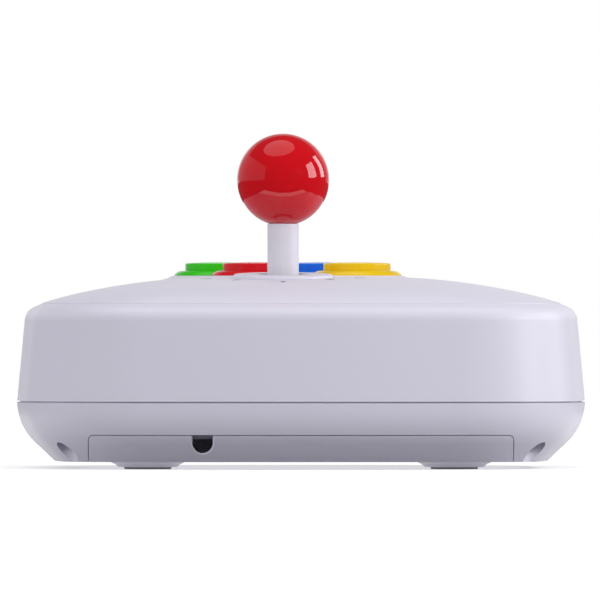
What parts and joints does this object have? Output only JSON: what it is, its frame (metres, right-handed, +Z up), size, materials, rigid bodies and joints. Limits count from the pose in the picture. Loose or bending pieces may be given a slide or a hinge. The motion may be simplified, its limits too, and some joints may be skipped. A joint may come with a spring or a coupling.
{
  "type": "arcade stick",
  "caption": "Low white arcade stick: domed two-shell case, ball-top lever on the left, coloured push buttons on the right, cable compartment with a hinged door in the left end.",
  "frame": {"origin": "middle of the case in plan, on the surface that the foot pads stand on", "axes": "+X along the case to the player's right, +Y away from the player, +Z up"},
  "size_m": [0.29, 0.2168, 0.1271],
  "materials": {
    "shell_white": "satin white moulded case",
    "stick_white": "smooth white moulding",
    "ball_red": "high gloss red",
    "button_red": "gloss red",
    "button_yellow": "gloss yellow",
    "button_blue": "gloss blue",
    "button_green": "gloss green",
    "foot_rubber": "matt dark rubber",
    "screw_steel": "zinc plated",
    "shaft_steel": "ground bar",
    "spring_steel": "drawn wire",
    "nylon_natural": "natural nylon",
    "housing_black": "black moulding",
    "switch_black": "black switch case",
    "plunger_red": "red switch plunger",
    "board_green": "lacquered board",
    "ribbon_grey": "ribbon sheath",
    "lead_black": "lead sheath",
    "inlet_metal": "plated shell"
  },
  "bodies": {
    "case": {"top_shell": "shell_white", "bottom_shell": "shell_white", "cable_inlet": "inlet_metal", "inlet_lead": "lead_black", "case_screws": "screw_steel", "stick_collar": "stick_white", "trunnion_pins": "shaft_steel", "lever_housing": "housing_black", "housing_screws": "screw_steel", "centering_spring": "spring_steel", "restrictor_gate": "housing_black", "gate_screws": "screw_steel", "lever_board": "board_green", "lever_ribbon": "ribbon_grey", "main_board": "board_green", "board_screws": "screw_steel", "foot_pad_front_left": "foot_rubber", "foot_pad_front_right": "foot_rubber", "foot_pad_rear_left": "foot_rubber", "foot_pad_rear_right": "foot_rubber", "lever_switch_right": "switch_black", "lever_switch_rear": "switch_black", "lever_switch_left": "switch_black", "lever_switch_front": "switch_black", "red_bezel": "button_red", "red_switch": "switch_black", "yellow_bezel": "button_yellow", "yellow_switch": "switch_black", "blue_bezel": "button_blue", "blue_switch": "switch_black", "green_bezel": "button_green", "green_switch": "switch_black", "start_switch": "switch_black", "select_switch": "switch_black"},
    "gimbal": {"gimbal_ring": "nylon_natural"},
    "lever": {"ball_top": "ball_red", "shaft_sleeve": "stick_white", "lever_shaft": "shaft_steel", "pivot_bead": "nylon_natural", "cross_pin": "shaft_steel", "actuator": "nylon_natural", "retaining_clip": "spring_steel"},
    "door": {"compartment_door": "shell_white"},
    "red_button": {"red_cap": "button_red", "red_plunger": "plunger_red"},
    "yellow_button": {"yellow_cap": "button_yellow", "yellow_plunger": "plunger_red"},
    "blue_button": {"blue_cap": "button_blue", "blue_plunger": "plunger_red"},
    "green_button": {"green_cap": "button_green", "green_plunger": "plunger_red"},
    "start_key": {"start_button": "stick_white", "start_plunger": "plunger_red"},
    "select_key": {"select_button": "stick_white", "select_plunger": "plunger_red"},
    "contact_right": {"lever_plunger_right": "plunger_red"},
    "contact_rear": {"lever_plunger_rear": "plunger_red"},
    "contact_left": {"lever_plunger_left": "plunger_red"},
    "contact_front": {"lever_plunger_front": "plunger_red"}
  },
  "joints": [
    {"name": "stick_tilt_front_rear", "type": "hinge", "parent": "case", "child": "gimbal", "pos_m": [-0.078, 0.0068, 0.062], "axis": [1, 0, 0], "range_deg": [-9, 9], "stiffness_Nm_per_rad": 0.6, "deforming": ["centering_spring"]},
    {"name": "stick_tilt_left_right", "type": "hinge", "parent": "gimbal", "child": "lever", "pos_m": [-0.078, 0.0068, 0.062], "axis": [0, 1, 0], "range_deg": [-9, 9], "stiffness_Nm_per_rad": 0.6, "deforming": ["centering_spring"]},
    {"name": "door_swing", "type": "hinge", "parent": "case", "child": "door", "pos_m": [-0.1112, 0, 0.0045], "axis": [0, -1, 0], "range_deg": [0, 75]},
    {"name": "red_press", "type": "slide", "parent": "case", "child": "red_button", "axis": [0, 0, -1], "range_m": [0, 0.0028], "stiffness_N_per_m": 250, "springref_m": -0.003},
    {"name": "yellow_press", "type": "slide", "parent": "case", "child": "yellow_button", "axis": [0, 0, -1], "range_m": [0, 0.0028], "stiffness_N_per_m": 250, "springref_m": -0.003},
    {"name": "blue_press", "type": "slide", "parent": "case", "child": "blue_button", "axis": [0, 0, -1], "range_m": [0, 0.0028], "stiffness_N_per_m": 250, "springref_m": -0.003},
    {"name": "green_press", "type": "slide", "parent": "case", "child": "green_button", "axis": [0, 0, -1], "range_m": [0, 0.0028], "stiffness_N_per_m": 250, "springref_m": -0.003},
    {"name": "start_press", "type": "slide", "parent": "case", "child": "start_key", "axis": [0, 0, -1], "range_m": [0, 0.0008], "stiffness_N_per_m": 500, "springref_m": -0.001},
    {"name": "select_press", "type": "slide", "parent": "case", "child": "select_key", "axis": [0, 0, -1], "range_m": [0, 0.0008], "stiffness_N_per_m": 500, "springref_m": -0.001},
    {"name": "contact_right_press", "type": "slide", "parent": "case", "child": "contact_right", "axis": [1, 0, 0], "range_m": [0, 0.0008], "stiffness_N_per_m": 500, "springref_m": -0.0005},
    {"name": "contact_rear_press", "type": "slide", "parent": "case", "child": "contact_rear", "axis": [0, 1, 0], "range_m": [0, 0.0008], "stiffness_N_per_m": 500, "springref_m": -0.0005},
    {"name": "contact_left_press", "type": "slide", "parent": "case", "child": "contact_left", "axis": [-1, 0, 0], "range_m": [0, 0.0008], "stiffness_N_per_m": 500, "springref_m": -0.0005},
    {"name": "contact_front_press", "type": "slide", "parent": "case", "child": "contact_front", "axis": [0, -1, 0], "range_m": [0, 0.0008], "stiffness_N_per_m": 500, "springref_m": -0.0005}
  ]
}
